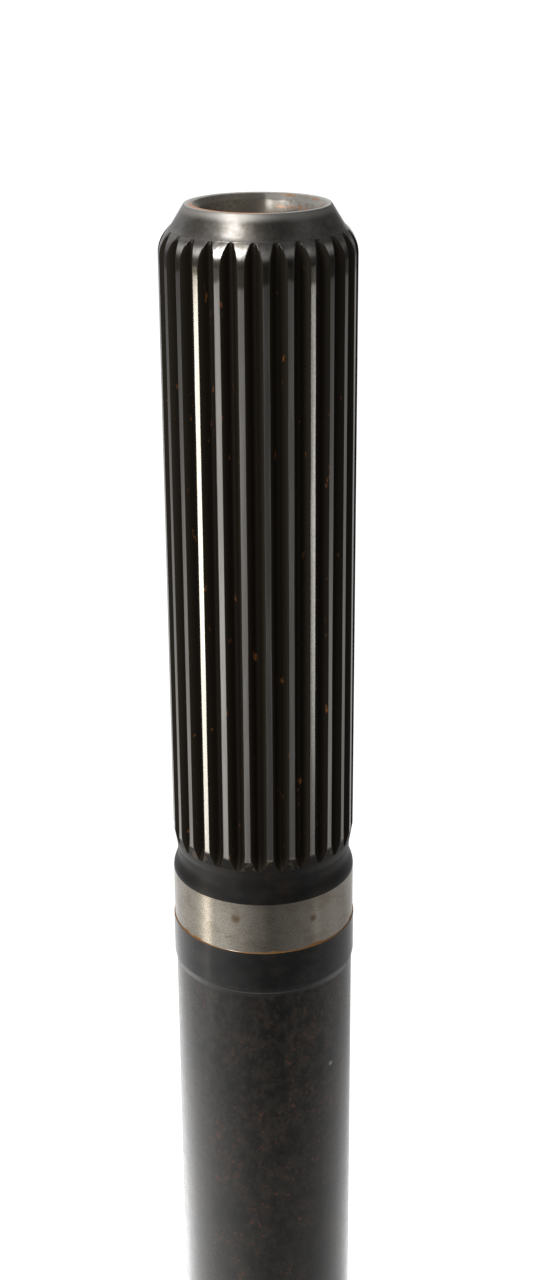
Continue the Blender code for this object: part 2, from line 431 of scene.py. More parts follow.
@dataclass(frozen=True)
class DriveEnd:
    """The hidden inner end: centre hole, drive spline, ring groove, bearing seat and shoulder."""

    spline: Spline = Spline(34, edge_break=0.00012, flank_steps=2, fillet_steps=3)
    spline_length: float = 0.034
    end_clearance: float = 0.0002
    relief_clearance: float = 0.0004
    relief_width: float = 0.005
    seat_radius: float = 0.02
    seat_chamfer: float = 0.001
    ring_land: float = 0.003
    groove_width: float = 0.00185
    groove_depth: float = 0.00125
    seat_width: float = 0.018
    shoulder_height: float = 0.0025
    shoulder_width: float = 0.005
    shoulder_chamfer: float = 0.0008
    shoulder_fillet: float = 0.006
    hole_radius: float = 0.005
    pilot_radius: float = 0.002
    pilot_length: float = 0.004
    hole_cone: float = math.radians(30)
    drill_point: float = math.radians(59)
    edge: float = 0.00025
    runout_share: float = 1.3
    fillet_steps: int = 14
    long_steps: int = 5
    end_steps: int = 6
    columns: int = 6

    def hole(self) -> list[Spot]:
        """The centre hole's outline, from its bottom out to its mouth."""
        cone = (self.hole_radius - self.pilot_radius) / math.tan(self.hole_cone)
        deep = cone + self.pilot_length
        point = self.pilot_radius / math.tan(self.drill_point)
        return [
            Spot(0.0, deep + point, Zone.BORE),
            Spot(self.pilot_radius, deep, Zone.BORE, self.edge),
            Spot(self.pilot_radius, cone, Zone.BORE, self.edge),
            Spot(self.hole_radius, 0.0, Zone.COLLAR, self.edge),
        ]

    def outline(self, body_radius: float) -> list[Spot]:
        """The outside, from the end face up to the foot of the body.

        Args:
            body_radius: The plain body's radius.

        Returns:
            The blank's corners, with the shoulder fillet's arc.
        """
        major = self.spline.major_radius
        end = self.spline.root_radius - self.end_clearance
        relief = self.spline.root_radius - self.relief_clearance
        seat = self.spline_length + self.relief_width
        groove = seat + self.ring_land
        upper = groove + self.groove_width
        shoulder = upper + self.seat_width
        foot = shoulder + self.shoulder_width
        shoulder_radius = self.seat_radius + self.shoulder_height
        groove_radius = self.seat_radius - self.groove_depth
        fillet_centre = (body_radius + self.shoulder_fillet, foot + self.shoulder_fillet)
        return [
            Spot(end, 0.0, Zone.NECK, self.edge),
            Spot(major, major - end, Zone.NECK, self.edge),
            Spot(major, self.spline_length - (major - relief), Zone.NECK, self.edge),
            Spot(relief, self.spline_length, Zone.COLLAR, self.edge),
            Spot(relief, seat, Zone.COLLAR, self.edge),
            Spot(self.seat_radius - self.seat_chamfer, seat, Zone.COLLAR, self.edge),
            Spot(self.seat_radius, seat + self.seat_chamfer, Zone.GROUND, self.edge),
            Spot(self.seat_radius, groove, Zone.COLLAR, self.edge),
            Spot(groove_radius, groove, Zone.COLLAR, self.edge),
            Spot(groove_radius, upper, Zone.COLLAR, self.edge),
            Spot(self.seat_radius, upper, Zone.GROUND, self.edge),
            Spot(self.seat_radius, shoulder, Zone.COLLAR, self.edge),
            Spot(shoulder_radius, shoulder, Zone.COLLAR, self.edge),
            Spot(shoulder_radius, foot - self.shoulder_chamfer, Zone.COLLAR, self.edge),
            Spot(shoulder_radius - self.shoulder_chamfer, foot, Zone.COLLAR, self.edge),
        ] + arc(fillet_centre, self.shoulder_fillet, -math.pi / 2, -math.pi, self.fillet_steps, Zone.BODY)

    def build(self, outside: Sequence[Spot], joint: Spot) -> Sector:
        """Makes one sector of the inner end's skin.

        Args:
            outside: The whole outside's outline.
            joint: The ring on the body where the two ends meet.

        Returns:
            The finished sector.
        """
        sector = Sector(Half.DRIVE, self.spline.teeth, self.columns)
        for spot in rounded(self.hole() + [outside[0]])[:-1]:
            sector.add_plain(spot)
        low = exit_height(outside, self.spline, self.spline_length / 2, 0.0)
        high = exit_height(outside, self.spline, self.spline_length / 2, self.spline_length)
        full = (self.spline.major_radius - self.spline.root_radius) * self.runout_share
        heights = spread_heights(low, full, self.spline_length - full, high, self.long_steps, self.end_steps)
        for spot in [s for s in outside if s.height < low - EXIT_STEP]:
            sector.add_plain(spot)
        add_splined(sector, self.spline, outside, with_corners(heights, outside), Zone.TEETH)
        for spot in [s for s in outside if high + EXIT_STEP < s.height < joint.height]:
            sector.add_plain(spot)
        sector.add_plain(joint, columns=JOINT_RING // self.spline.teeth)
        return sector


@dataclass(frozen=True)
class SealLand:
    """The plain body, the dark collar, the ground land that the seal runs on, and the neck."""

    body_radius: float = 0.01425
    body_length: float = 0.1464
    step_length: float = 0.0011
    collar_radius: float = 0.01455
    collar_length: float = 0.00665
    land_radius: float = 0.0144
    land_length: float = 0.0085
    flare_length: float = 0.0028
    neck_radius: float = 0.0137
    neck_length: float = 0.0013
    edge: float = 0.00015
    step_edge: float = 0.0001
    collar_edge: float = 0.0002
    land_edge: float = 0.00004
    ledge: float = 0.00001
    fillet_steps: int = 6
    flare_steps: int = 12

    def outline(self, foot: float) -> list[Spot]:
        """The outside, from the top of the body up to the top of the neck.

        Args:
            foot: Height of the body's foot.

        Returns:
            The corners, with the smooth flare from the land into the neck.
        """
        step = foot + self.body_length
        collar = step + self.step_length
        land = collar + self.collar_length
        flare = land + self.land_length
        neck = flare + self.flare_length
        spots = [
            Spot(self.body_radius, step, Zone.COLLAR, self.step_edge),
            Spot(self.collar_radius, collar, Zone.COLLAR, self.collar_edge),
            Spot(self.collar_radius, land, Zone.GROUND, self.land_edge),
        ]
        fillet = self.collar_radius - self.ledge - self.land_radius
        centre = (self.land_radius + fillet, land + fillet)
        spots += arc(centre, fillet, -math.pi / 2, -math.pi, self.fillet_steps, Zone.GROUND)
        spots.append(Spot(self.land_radius, flare, Zone.NECK))
        for number in range(1, self.flare_steps + 1):
            share = number / self.flare_steps
            blend = (1 - math.cos(math.pi * share)) / 2
            radius = self.land_radius + (self.neck_radius - self.land_radius) * blend
            spots.append(Spot(radius, flare + (neck - flare) * share, Zone.NECK))
        return spots + [Spot(self.neck_radius, neck + self.neck_length, Zone.NECK, self.edge)]


@dataclass(frozen=True)
class TailEnd:
    """The visible end: the long spline, the turned nose, the flat rim and the bore."""

    teeth: int = 26
    taper_length: float = 0.0034
    spline_length: float = 0.09
    runout_length: float = 0.001
    blend_radius: float = 0.005
    chamfer: float = 0.00047
    cone_length: float = 0.003
    cone_angle: float = math.radians(32)
    rim_width: float = 0.0012
    mouth_chamfer: float = 0.00085
    bore_cone: float = math.radians(30)
    bore_cone_length: float = 0.005
    bore_depth: float = 0.022
    drill_point: float = math.radians(59)
    edge: float = 0.0001
    kink_round: float = 0.0003
    unrubbed_length: float = 0.0008
    oily_length: float = 0.0011
    shoulder_length: float = 0.0021
    arch_length: float = 0.0029
    blend_steps: int = 12
    long_steps: int = 22
    end_steps: int = 8
    columns: int = 8

    def spline(self, neck: float) -> Spline:
        """The tail spline, whose spaces run out over the top of the neck."""
        return Spline(self.teeth, runout_height=neck + self.taper_length + self.runout_length)

    def outline(self, neck: float) -> list[Spot]:
        """The outside, from the lower ends of the teeth up to the rim.

        Args:
            neck: Height of the neck's top.

        Returns:
            The blank's corners, with the arc that rounds the teeth over.
        """
        major = self.spline(neck).major_radius
        start = neck + self.taper_length
        blend = arc(
            (major - self.blend_radius, start + self.spline_length),
            self.blend_radius, 0.0, math.pi / 4, self.blend_steps, Zone.TEETH,
        )
        top = replace(blend[-1], zone=Zone.NOSE)
        kink = Spot(top.radius - self.chamfer, top.height + self.chamfer, Zone.NOSE, self.kink_round)
        rim_radius = kink.radius - self.cone_length * math.tan(self.cone_angle)
        rim = Spot(rim_radius, kink.height + self.cone_length, Zone.NOSE, self.edge)
        return [Spot(major, start, Zone.TEETH, self.edge)] + blend[:-1] + [top, kink, rim]

    def bore(self, rim: Spot) -> list[Spot]:
        """The bore's outline, from the rim down to its bottom on the axis."""
        mouth = rim.radius - self.rim_width
        cone = mouth - self.mouth_chamfer
        bore = cone - self.bore_cone_length * math.tan(self.bore_cone)
        top = rim.height
        deep = top - self.bore_depth
        return [
            Spot(mouth, top, Zone.BORE, self.edge),
            Spot(cone, top - self.mouth_chamfer, Zone.BORE, self.edge),
            Spot(bore, top - self.mouth_chamfer - self.bore_cone_length, Zone.BORE, self.edge),
            Spot(bore, deep, Zone.BORE, self.edge),
            Spot(0.0, deep - bore / math.tan(self.drill_point), Zone.BORE),
        ]

    def build(self, outside: Sequence[Spot], joint: Spot, neck: float) -> Sector:
        """Makes one sector of the tail end's skin.

        Args:
            outside: The whole outside's outline, rim and bore included.
            joint: The ring on the body where the two ends meet.
            neck: Height of the neck's top.

        Returns:
            The finished sector.
        """
        spline = self.spline(neck)
        sector = Sector(Half.TAIL, self.teeth, self.columns)
        rim = max(range(len(outside)), key=lambda i: outside[i].height)
        blank = outside[: rim + 1]
        straight = neck + self.taper_length
        middle = straight + self.spline_length / 2
        low = exit_height(blank, spline, middle, neck)
        high = exit_height(blank, spline, middle, blank[-1].height)
        heights = spread_heights(
            low, spline.runout_height, straight + self.spline_length, high, self.long_steps, self.end_steps
        )
        sector.add_plain(joint, columns=JOINT_RING // self.teeth)
        for spot in [s for s in blank if joint.height < s.height < low - EXIT_STEP]:
            sector.add_plain(spot)
        add_splined(sector, spline, blank, with_corners(heights, blank), Zone.TEETH)
        sector.zone = Zone.NOSE
        for spot in [s for s in blank if s.height > high + EXIT_STEP] + list(outside[rim + 1:]):
            sector.add_plain(spot)
        return sector


Operand = "Signal | float"


def operator(operation: str, flipped: bool = False) -> Callable[["Signal", Operand], "Signal"]:
    """Makes the method of one arithmetic sign.

    Args:
        operation: The Math node's operation.
        flipped: Whether the other value stands in front of the sign.

    Returns:
        The method, which adds a Math node to the signal's own tree.
    """

    def method(signal: "Signal", other: Operand) -> "Signal":
        """Adds the Math node."""
        first, second = (other, signal) if flipped else (signal, other)
        return signal.graph.maths(operation, first, second)

    return method


class Signal:
    """A number out of a node's socket. Its operators add Math nodes to the same tree."""

    __add__ = operator("ADD")
    __radd__ = operator("ADD", flipped=True)
    __sub__ = operator("SUBTRACT")
    __rsub__ = operator("SUBTRACT", flipped=True)
    __mul__ = operator("MULTIPLY")
    __rmul__ = operator("MULTIPLY", flipped=True)
    __truediv__ = operator("DIVIDE")
    __rtruediv__ = operator("DIVIDE", flipped=True)
    __pow__ = operator("POWER")
    __rpow__ = operator("POWER", flipped=True)

    def __init__(self, graph: "Graph", socket: bpy.types.NodeSocket) -> None:
        """Wraps a socket of the graph."""
        self.graph = graph
        self.socket = socket

    def rise(self, low: float, high: float) -> "Signal":
        """Goes smoothly from 0 at the low value to 1 at the high one, and stays between them."""
        node = self.graph.node(
            "ShaderNodeMapRange",
            {"interpolation_type": "SMOOTHSTEP"},
            {"Value": self, "From Min": low, "From Max": high},
        )
        return Signal(self.graph, node.outputs[0])

    def past(self, place: float, width: float) -> "Signal":
        """Goes smoothly from 0 to 1 round a value, within a width on each side of it."""
        return self.rise(place - width, place + width)

    def swing(self, reach: float) -> "Signal":
        """How far noise is from its middle value, times a reach."""
        return (self - NOISE_MIDDLE) * reach

    def blend(self, other: "Signal", share: float) -> "Signal":
        """This signal at a share, with another one at the rest."""
        return self * share + other * (1 - share)

    def near(self, centre: float, width: float) -> "Signal":
        """1 at a value, falling smoothly to 0 at a width on each side of it."""
        return 1 - self.graph.maths("ABSOLUTE", self - centre, 0.0).rise(0.0, width)


class Graph:
    """A node tree that is filled from code."""

    def __init__(self, tree: bpy.types.NodeTree) -> None:
        """Takes a node tree to fill."""
        self.tree = tree

    def node(self, kind: str, settings: dict | None = None, inputs: dict | None = None) -> bpy.types.Node:
        """Adds a node.

        Args:
            kind: The node's type.
            settings: Its settings, such as an operation, which are set first.
            inputs: Values or links of its sockets, by name or number.

        Returns:
            The new node.
        """
        made = self.tree.nodes.new(kind)
        for name, value in (settings or {}).items():
            setattr(made, name, value)
        for name, value in (inputs or {}).items():
            self.feed(made.inputs[name], value)
        return made

    def feed(self, socket: bpy.types.NodeSocket, value: object) -> None:
        """Links a socket to a signal or another socket, or sets its value."""
        source = value.socket if isinstance(value, Signal) else value
        if isinstance(source, bpy.types.NodeSocket):
            self.tree.links.new(source, socket)
        elif socket.type == "RGBA" and len(source) == 3:
            socket.default_value = (*source, 1.0)
        else:
            socket.default_value = source

    def maths(self, operation: str, first: Operand, second: Operand) -> Signal:
        """Adds a Math node and returns its result."""
        made = self.node("ShaderNodeMath", {"operation": operation}, {0: first, 1: second})
        return Signal(self, made.outputs[0])


@dataclass(frozen=True)
class Pattern:
    """Soft noise: its waves for each metre, its finer layers, and where its marks begin and end."""

    waves: Point
    layers: float = 3.0
    roughness: float = 0.6
    shift: float = 0.0
    band: Span = (0.0, 1.0)


@dataclass(frozen=True)
class Stain:
    """A round, ragged stain: its bearing in degrees, its place over the skin's own, and its size."""

    bearing: float
    radius: float
    height: float
    size: float


class Surface(Graph):
    """The node tree of a new material."""

    def __init__(self, name: str) -> None:
        """Makes the material."""
        self.material = bpy.data.materials.new(name)
        self.material.use_nodes = True
        super().__init__(self.material.node_tree)

    def show(self, shader: bpy.types.Node) -> bpy.types.Material:
        """Makes a shader the material's surface and returns the material."""
        self.feed(self.tree.nodes["Material Output"].inputs["Surface"], shader.outputs[0])
        return self.material


class Skin(Surface):
    """The node tree of one finish, with the places on the shaft that its patterns follow."""

    ragged: Pattern = Pattern((1500, 1500, 1500), shift=11.0)
    stain_core: float = 0.2

    def __init__(self, name: str) -> None:
        """Starts a material with the shaft's own coordinates."""
        super().__init__(name)
        self.shader = self.tree.nodes["Principled BSDF"]
        self.place = self.node("ShaderNodeTexCoord").outputs["Object"]
        parts = self.node("ShaderNodeSeparateXYZ", inputs={0: self.place})
        self.x, self.y, self.height = [Signal(self, parts.outputs[axis]) for axis in range(3)]
        self.radius = (self.x * self.x + self.y * self.y) ** 0.5
        cut = self.node("ShaderNodeAttribute", {"attribute_name": "depth"})
        self.depth = Signal(self, cut.outputs["Fac"])

    def noise(self, pattern: Pattern) -> Signal:
        """Adds a pattern's noise, which is about 0.5 on average."""
        placed = self.node(
            "ShaderNodeMapping",
            inputs={"Vector": self.place, "Location": (pattern.shift,) * 3, "Scale": pattern.waves},
        )
        settings = {"Scale": 1.0, "Detail": pattern.layers, "Roughness": pattern.roughness}
        made = self.node("ShaderNodeTexNoise", inputs={"Vector": placed.outputs[0], **settings})
        return Signal(self, made.outputs[0])

    def marks(self, pattern: Pattern) -> Signal:
        """The marks of a pattern, from 0 outside them to 1 within."""
        return self.noise(pattern).rise(*pattern.band)

    def stain(self, stain: Stain, height: float, radius: float = 0.0) -> Signal:
        """Adds a stain.

        Args:
            stain: The stain.
            height: The height that its own is counted from.
            radius: The radius that its own is counted from.

        Returns:
            1 in the stain's middle, falling to 0 at its ragged edge.
        """
        middle = towards(stain.bearing) * (radius + stain.radius)
        middle.z = height + stain.height
        away = self.node("ShaderNodeVectorMath", {"operation": "DISTANCE"}, {0: self.place, 1: middle})
        uneven = Signal(self, away.outputs["Value"]) + self.noise(self.ragged).swing(stain.size)
        return 1 - uneven.rise(self.stain_core * stain.size, stain.size)

    def most(self, first: Operand, second: Operand) -> Signal:
        """The larger of two values."""
        return self.maths("MAXIMUM", first, second)

    def mix(self, share: Operand, first: object, second: object) -> bpy.types.NodeSocket:
        """Mixes two colours or colour sockets, with the first at a share of 0 and the second at 1."""
        # The node has sockets for numbers and vectors too: its colours are 6 and 7, and its mixed one is 2.
        made = self.node("ShaderNodeMix", {"data_type": "RGBA"}, {0: share, 6: first, 7: second})
        return made.outputs[2]

    def relief(self, height: Signal, depth: float) -> bpy.types.NodeSocket:
        """Adds a bump from a relief of 0 to 1 and its full height in metres."""
        inputs = {"Height": height, "Strength": 1.0, "Distance": depth}
        return self.node("ShaderNodeBump", inputs=inputs).outputs[0]

    def finish(self, inputs: dict, brushed: float = 0.0) -> bpy.types.Material:
        """Sets the shader's sockets.

        Args:
            inputs: Values or links, by the sockets' names.
            brushed: How far reflections are drawn out along the shaft.

        Returns:
            The finished material.
        """
        for name, value in {**inputs, "Anisotropic": brushed, "Anisotropic Rotation": LENGTHWISE}.items():
            self.feed(self.shader.inputs[name], value)
        return self.material


@dataclass(frozen=True)
class TurnedSteel:
    """Stained turned steel, on the nose and on the tooth ends that it runs into."""

    steel: Colour = (0.21, 0.2, 0.19)
    stain: Colour = (0.088, 0.076, 0.06)
    clouds: Pattern = Pattern((230, 230, 230), 4.0, shift=1.0, band=(0.35, 0.75))
    mottle: Pattern = Pattern((1300, 1300, 1300), shift=13.0, band=(0.3, 0.7))
    cloudy: float = 0.7

    def colour(self, skin: Skin, cloud: Signal) -> bpy.types.NodeSocket:
        """The steel's colour under a cloudy, mottled stain."""
        stained = cloud.rise(*self.clouds.band).blend(skin.marks(self.mottle), self.cloudy)
        return skin.mix(stained, self.steel, self.stain)


@dataclass(frozen=True)
class ToothFinish:
    """Rubbed steel on the tooth tops, with black oil and dirt in the spaces, painted shade round the spaces
    near the tooth ends, and bare steel on the tooth ends brightened as painted highlight.
    """

    tooth_foot: float
    rub_top: float
    arc_steel: float
    shoulder: float
    arch_top: float
    turned: TurnedSteel = TurnedSteel()
    top: Colour = (0.27, 0.255, 0.235)
    top_worn: Colour = (0.34, 0.325, 0.305)
    # Bare steel of the tooth ends' shoulders, made brighter as painted highlight.
    shoulder_steel_and_glint: Colour = (0.6, 0.575, 0.54)
    oily: Colour = (0.1, 0.09, 0.078)
    taper: Colour = (0.016, 0.014, 0.012)
    pale: Colour = (0.11, 0.08, 0.055)
    flank: Colour = (0.014, 0.011, 0.0075)
    floor: Colour = (0.011, 0.0085, 0.006)
    rust: Colour = (0.16, 0.06, 0.016)
    blotches: Pattern = Pattern((260, 260, 60), 4.0, band=(0.3, 0.5))
    streaks: Pattern = Pattern((1500, 1500, 45), shift=3.0)
    grains: Pattern = Pattern((3800, 3800, 2200), 2.0)
    waver: Pattern = Pattern((230, 230, 40), 3.0, 0.5, 8.0)
    specks: Pattern = Pattern((620, 620, 300), 3.0, 0.65, 9.5, (0.66, 0.76))
    pale_specks: Pattern = Pattern((560, 560, 560), 3.0, 0.6, 12.0, (0.52, 0.62))
    dings: Pattern = Pattern((560, 560, 560), 2.0, 0.5, 6.0)
    waver_reach: float = 0.004
    steadied: float = 0.3
    border: float = 0.0005
    foot_border: float = 0.0003
    shoulder_width: float = 0.001
    closing_depth: float = 0.0009
    ragged_middle: float = 0.4
    ragged_reach: float = 0.0002
    crown_edge: Span = (-0.00012, -0.00004)
    shaded_edge: Span = (-0.00025, 0.00002)
    shade: float = 0.85
    closing_shade: float = 0.3
    early_side: Span = (-0.0075, -0.0055)
    early_rub: float = 0.0011
    hidden_teeth: Span = (0.1, 0.11)
    oil_depths: Span = (0.0003, 0.0012)
    worn_band: Span = (0.42, 0.62)
    streaky: float = 0.6
    pale_share: float = 0.6
    ding_height: float = 16.0
    oil_roughness: float = 0.46
    rubbed_smoother: float = 0.26
    arc_rougher: float = 0.1
    grain_roughness: float = 0.12
    level: float = 0.07
    relief_depth: float = 0.000006
    brushed: float = 0.5

    def make(self) -> bpy.types.Material:
        """Makes the finish's material."""
        skin = Skin("rubbed_splines")
        blotch, streak, grain = [skin.noise(each) for each in (self.blotches, self.streaks, self.grains)]
        uneven = skin.noise(self.waver).swing(self.waver_reach)
        steadier = skin.height + uneven * self.steadied
        arc = steadier.past(self.arc_steel, self.border)
        closing = skin.height.past(self.arch_top, self.border)
        edge = skin.depth - closing * self.closing_depth + (blotch - self.ragged_middle) * self.ragged_reach
        crown = 1 - edge.rise(*self.crown_edge)
        early = skin.x.rise(*self.early_side) * self.early_rub
        ends = (skin.height + uneven + early).past(self.rub_top, self.border)
        hidden = 1 - skin.height.rise(*self.hidden_teeth)
        rubbed_part = steadier.past(self.tooth_foot, self.foot_border) + hidden
        oil = skin.mix(skin.depth.rise(*self.oil_depths), self.flank, self.floor)
        dirt = skin.mix(skin.marks(self.specks), oil, self.rust)
        worn = streak.blend(blotch, self.streaky).rise(*self.worn_band)
        steel = skin.mix(ends, skin.mix(worn, self.top, self.top_worn), self.oily)
        steel = skin.mix(arc, steel, self.turned.colour(skin, skin.noise(self.turned.clouds)))
        # Patches of bare steel round the tooth ends' shoulders: partly wear, partly painted highlight, as
        # their colour is raised to strengthen the high window's highlight there.
        bare_shoulder = blotch.rise(*self.blotches.band)
        shoulder = skin.height.near(self.shoulder, self.shoulder_width) * bare_shoulder
        steel = skin.mix(shoulder, steel, self.shoulder_steel_and_glint)
        shade = skin.depth.rise(*self.shaded_edge) * arc * (self.shade - closing * self.closing_shade)
        steel = skin.mix(shade, steel, self.floor)
        bare = crown * rubbed_part
        tapered = skin.mix(skin.marks(self.pale_specks) * self.pale_share, self.taper, self.pale)
        roughness = self.oil_roughness - bare * self.rubbed_smoother + bare * arc * self.arc_rougher
        dings = skin.noise(self.dings) * self.ding_height * arc
        relief = streak.blend(grain, self.streaky) + dings
        return skin.finish({
            "Base Color": skin.mix(crown, dirt, skin.mix(rubbed_part, tapered, steel)),
            "Metallic": bare,
            "Roughness": roughness + grain.swing(self.grain_roughness),
            "Specular IOR Level": self.level,
            "Normal": skin.relief(relief, self.relief_depth),
        }, self.brushed)


@dataclass(frozen=True)
class NoseFinish:
    """Turned steel on the cone and the rim, with rust creeping in from the bore's mouth and patches of
    painted shade on the cone.
    """

    mouth_radius: float
    rim_radius: float
    rim_height: float
    # Patches of painted shade on the cone, which trim the high window's highlight and stand in for dark
    # reflections.
    stains: tuple[Stain, ...] = (
        Stain(-8.0, 0.0108, -0.0006, 0.0022),
        Stain(-50.0, 0.0118, -0.0024, 0.0034),
        Stain(3.0, 0.0114, -0.0017, 0.0023),
        Stain(18.0, 0.0115, -0.0019, 0.004),
    )
    turned: TurnedSteel = TurnedSteel()
    rim: Colour = (0.46, 0.44, 0.41)
    grime: Colour = (0.08, 0.07, 0.055)
    # Colour of the painted shade patches.
    painted_shade: Colour = (0.06, 0.053, 0.043)
    rust: Colour = (0.5, 0.17, 0.03)
    grooves: Pattern = Pattern((60, 60, 9000), 2.0)
    grains: Pattern = Pattern((3000, 3000, 3000), 2.0, 0.5)
    speckles: Pattern = Pattern((1400, 1400, 1400), 3.0, 0.65, 3.0, (0.3, 0.5))
    back_side: Span = (-0.004, 0.001)
    right_side: Span = (-0.001, 0.004)
    right_cleaner: float = 0.8
    dirt_width: float = 0.0014
    lip_edge: Span = (0.0003, 0.001)
    flat_border: float = 0.0001
    worn_offset: float = 0.0002
    worn_width: float = 0.0006
    worn_share: float = 0.8
    painted_shade_share: float = 0.55
    back_dirt: float = 0.35
    grooved: float = 0.7
    rust_share: float = 0.7
    roughness: float = 0.35
    cloud_roughness: float = 0.2
    dirt_roughness: float = 0.2
    worn_roughness: float = 0.25
    relief_depth: float = 0.000008
    brushed: float = 0.5

    def make(self) -> bpy.types.Material:
        """Makes the finish's material."""
        skin = Skin("turned_nose")
        cloud = skin.noise(self.turned.clouds)
        speckle = skin.marks(self.speckles)
        front = 1 - skin.y.rise(*self.back_side)
        left = 1 - skin.x.rise(*self.right_side) * self.right_cleaner
        beyond_mouth = skin.radius - self.mouth_radius
        beyond_rim = skin.radius - self.rim_radius
        dirty = 1 - beyond_mouth.rise(0.0, self.dirt_width)
        lip = (1 - beyond_mouth.rise(*self.lip_edge)) * speckle * left * front
        flat = 1 - beyond_rim.rise(-self.flat_border, 0.0)
        worn = beyond_rim.near(self.worn_offset, self.worn_width) * self.worn_share
        stained = self.turned.colour(skin, cloud)
        # Darken the cone with painted shade at each patch.
        for stain in self.stains:
            painted_shade = skin.stain(stain, self.rim_height) * self.painted_shade_share
            stained = skin.mix(painted_shade, stained, self.painted_shade)
        steel = skin.mix(skin.most(flat, worn), stained, self.rim)
        all_round = self.back_dirt + front * (1 - self.back_dirt)
        grimy = skin.mix(dirty * speckle * all_round, steel, self.grime)
        roughness = self.roughness + cloud.swing(self.cloud_roughness)
        relief = skin.noise(self.grooves).blend(skin.noise(self.grains), self.grooved)
        return skin.finish({
            "Base Color": skin.mix(lip, grimy, self.rust),
            "Metallic": 1 - lip * self.rust_share,
            "Roughness": roughness + dirty * self.dirt_roughness + worn * self.worn_roughness,
            "Normal": skin.relief(relief, self.relief_depth),
        }, self.brushed)


@dataclass(frozen=True)
class BoreFinish:
    """Dull brown steel in the bore, ringed with rust on one side; painted shade darkens the other side and
    the depths, and painted light and painted highlights make the rusty side paler.
    """

    rim_height: float
    # Painted shade (dark, deep, brown) and painted light (grey) on the wall.
    dark: Colour = (0.19, 0.165, 0.13)
    grey: Colour = (0.34, 0.315, 0.28)
    deep: Colour = (0.055, 0.048, 0.038)
    brown: Colour = (0.13, 0.117, 0.1)
    # Painted highlight on the wall and on the mouth's chamfer.
    painted_highlight: Colour = (0.28, 0.27, 0.25)
    grime: Colour = (0.07, 0.055, 0.04)
    rust: Colour = (0.4, 0.17, 0.05)
    clouds: Pattern = Pattern((330, 330, 900), 4.0, shift=2.0)
    mottle: Pattern = Pattern((1700, 1700, 2600), shift=14.0, band=(0.4, 0.7))
    speckles: Pattern = Pattern((1500, 1500, 1500), 2.0, 0.5, 5.0, (0.42, 0.62))
    ragged_reach: float = 0.0016
    waver_reach: float = 0.001
    right_edge: Span = (0.0003, 0.0009)
    # Where the painted shade deepens on the dark side, and where the painted light grows on the pale side.
    darkening: Span = (-0.004, 0.0)
    paling: Span = (0.0022, 0.0038)
    rusting: Span = (0.0018, 0.004)
    high_band: Span = (-0.0028, -0.0012)
    mouth_highlight_band: Span = (-0.0009, -0.0006)
    grime_share: float = 0.5
    glint_place: float = 0.0012
    glint_width: float = 0.0008
    glint_share: float = 0.6
    mouth_highlight_shares: Span = (0.2, 0.4)
    arc_heights: Span = (-0.0016, 0.0)
    arc_width: float = 0.0003
    roughness: float = 0.3
    cloud_roughness: float = 0.2
    metallic: float = 0.8
    relief_depth: float = 0.00002

    def make(self) -> bpy.types.Material:
        """Makes the finish's material."""
        skin = Skin("stained_bore")
        cloud = skin.noise(self.clouds)
        level = skin.height - self.rim_height
        side = skin.x + cloud.swing(self.ragged_reach)
        right = side.rise(*self.right_edge)
        high = level.rise(*self.high_band)
        # Painted shade and light: the dark side darkens towards the middle, the wall darkens lower down, and
        # the pale side is lit most far from the middle.
        shaded_wall = skin.mix(side.rise(*self.darkening), self.dark, self.deep)
        lit_wall = skin.mix(high, self.deep, skin.mix(skin.x.rise(*self.paling), self.brown, self.grey))
        wall = skin.mix(right, shaded_wall, lit_wall)
        wall = skin.mix(skin.marks(self.mottle) * self.grime_share, wall, self.grime)
        # Painted highlights: a glint high on the wall near the middle, and the mouth's chamfer all round and
        # more on the right side.
        painted_glint = side.near(self.glint_place, self.glint_width) * high * high * self.glint_share
        all_round, right_only = self.mouth_highlight_shares
        mouth = level.rise(*self.mouth_highlight_band) * (all_round + right * right_only)
        lit = skin.mix(skin.most(painted_glint, mouth), wall, self.painted_highlight)
        wave = level + cloud.swing(self.waver_reach)
        arcs = skin.most(*[wave.near(height, self.arc_width) for height in self.arc_heights])
        rusty = arcs * skin.marks(self.speckles) * skin.x.rise(*self.rusting)
        return skin.finish({
            "Base Color": skin.mix(rusty, lit, self.rust),
            "Metallic": self.metallic,
            "Roughness": self.roughness + cloud * self.cloud_roughness,
            "Normal": skin.relief(cloud, self.relief_depth),
        })


